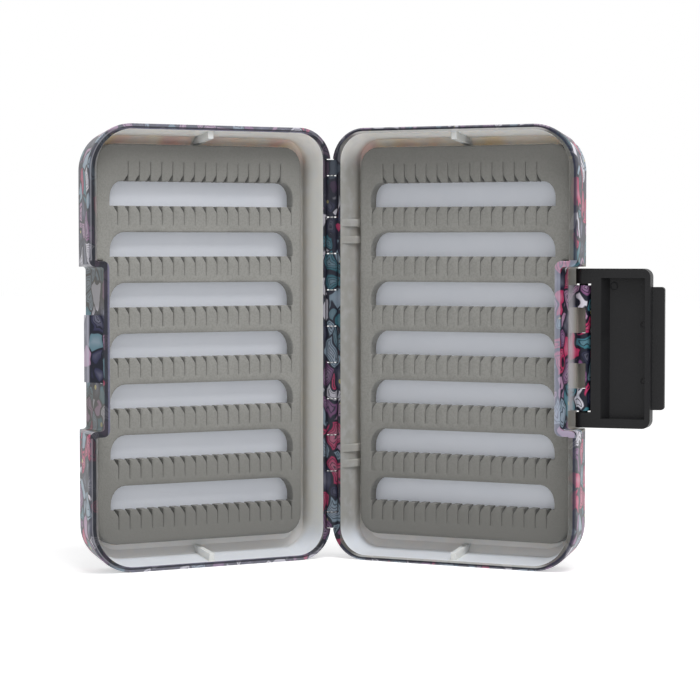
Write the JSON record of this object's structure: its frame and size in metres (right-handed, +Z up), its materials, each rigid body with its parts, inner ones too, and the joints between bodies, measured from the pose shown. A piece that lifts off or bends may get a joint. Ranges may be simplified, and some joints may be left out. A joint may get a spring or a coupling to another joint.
{
  "type": "fly box",
  "caption": "Slim pocket fly box with a pinned hinge along its long side, a slit-foam insert in each half and a snap latch that hooks over a catch ridge.",
  "frame": {"origin": "bottom centre of the open box's bounding box, on the surface that it stands on", "axes": "+Z up along the hinge. The base half runs along +X from the hinge with its back facing +Y and its inside facing -Y. The lid half runs from the hinge towards -X and -Y."},
  "size_m": [0.1478, 0.0788, 0.125],
  "materials": {
    "printed_shell": "clear moulding printed on the outside",
    "pin_steel": "drawn wire",
    "latch_plastic": "satin black moulding",
    "foam": "closed-cell foam, matt",
    "backing": "smooth pale sheet",
    "adhesive": "film"
  },
  "bodies": {
    "base": {"base_shell": "printed_shell", "hinge_pin": "pin_steel", "base_slit_foam": "foam", "base_foam_backing": "backing", "base_foam_adhesive": "adhesive"},
    "lid": {"lid_shell": "printed_shell", "lid_slit_foam": "foam", "lid_foam_backing": "backing", "lid_foam_adhesive": "adhesive"},
    "latch": {"latch": "latch_plastic"}
  },
  "joints": [
    {"name": "lid_hinge", "type": "hinge", "parent": "base", "child": "lid", "pos_m": [-0.02248, 0.02352, 0.0625], "axis": [0, 0, 1], "range_deg": [-55.94, 124.06]},
    {"name": "latch_hinge", "type": "hinge", "parent": "base", "child": "latch", "pos_m": [0.05192, 0.03322, 0.0625], "axis": [0, 0, 1], "range_deg": [-98, 20]}
  ]
}
